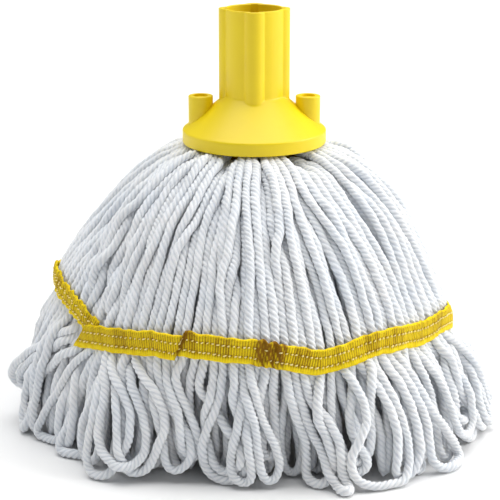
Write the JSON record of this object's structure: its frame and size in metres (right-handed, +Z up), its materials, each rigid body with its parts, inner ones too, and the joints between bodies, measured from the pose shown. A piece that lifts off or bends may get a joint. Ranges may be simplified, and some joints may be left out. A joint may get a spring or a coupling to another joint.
{
  "type": "socket string mop head",
  "caption": "Round string mop head: ribbed push-fit handle socket with a conical flange, a bell of looped cotton yarn and a sewn woven banding tape.",
  "frame": {"origin": "on the handle axis, at the floor that the mop stands on (bottom centre of the whole part)", "axes": "+Z up along the handle socket's axis, out of its mouth; +X through the two clamping posts; the front view looks along +Y"},
  "size_m": [0.262, 0.262, 0.2246],
  "materials": {
    "yellow_plastic": "satin moulded, lemon yellow",
    "cotton_yarn": "white four-ply twisted cotton yarn, soft and slightly fuzzy",
    "yellow_tape": "ribbed woven tape, golden yellow",
    "yellow_thread": "shiny sewing thread, yellow"
  },
  "bodies": {
    "head": {"socket_body": "yellow_plastic", "clamp_plate": "yellow_plastic", "clamp_pins": "yellow_plastic", "yarn_collar": "cotton_yarn", "yarn_headband": "yellow_tape", "inner_yarn": "cotton_yarn", "skirt_right": "cotton_yarn", "skirt_back_right": "cotton_yarn", "skirt_back": "cotton_yarn", "skirt_back_left": "cotton_yarn", "skirt_left": "cotton_yarn", "skirt_front_left": "cotton_yarn", "skirt_front": "cotton_yarn", "skirt_front_right": "cotton_yarn", "banding_tape": "yellow_tape", "tape_stitching": "yellow_thread"},
    "fringe_right": {"fringe_right": "cotton_yarn"},
    "fringe_back_right": {"fringe_back_right": "cotton_yarn"},
    "fringe_back": {"fringe_back": "cotton_yarn"},
    "fringe_back_left": {"fringe_back_left": "cotton_yarn"},
    "fringe_left": {"fringe_left": "cotton_yarn"},
    "fringe_front_left": {"fringe_front_left": "cotton_yarn"},
    "fringe_front": {"fringe_front": "cotton_yarn"},
    "fringe_front_right": {"fringe_front_right": "cotton_yarn"}
  },
  "joints": [
    {"name": "fringe_right_swing", "type": "hinge", "parent": "head", "child": "fringe_right", "pos_m": [0.098, 0, 0.0595], "axis": [0, -1, 0], "range_deg": [0, 40]},
    {"name": "fringe_back_right_swing", "type": "hinge", "parent": "head", "child": "fringe_back_right", "pos_m": [0.0693, 0.0693, 0.0595], "axis": [0.7071, -0.7071, 0], "range_deg": [0, 40]},
    {"name": "fringe_back_swing", "type": "hinge", "parent": "head", "child": "fringe_back", "pos_m": [0, 0.098, 0.0595], "axis": [1, 0, 0], "range_deg": [0, 40]},
    {"name": "fringe_back_left_swing", "type": "hinge", "parent": "head", "child": "fringe_back_left", "pos_m": [-0.0693, 0.0693, 0.0595], "axis": [0.7071, 0.7071, 0], "range_deg": [0, 40]},
    {"name": "fringe_left_swing", "type": "hinge", "parent": "head", "child": "fringe_left", "pos_m": [-0.098, 0, 0.0595], "axis": [0, 1, 0], "range_deg": [0, 40]},
    {"name": "fringe_front_left_swing", "type": "hinge", "parent": "head", "child": "fringe_front_left", "pos_m": [-0.0693, -0.0693, 0.0595], "axis": [-0.7071, 0.7071, 0], "range_deg": [0, 40]},
    {"name": "fringe_front_swing", "type": "hinge", "parent": "head", "child": "fringe_front", "pos_m": [0, -0.098, 0.0595], "axis": [-1, 0, 0], "range_deg": [0, 40]},
    {"name": "fringe_front_right_swing", "type": "hinge", "parent": "head", "child": "fringe_front_right", "pos_m": [0.0693, -0.0693, 0.0595], "axis": [-0.7071, -0.7071, 0], "range_deg": [0, 40]}
  ]
}
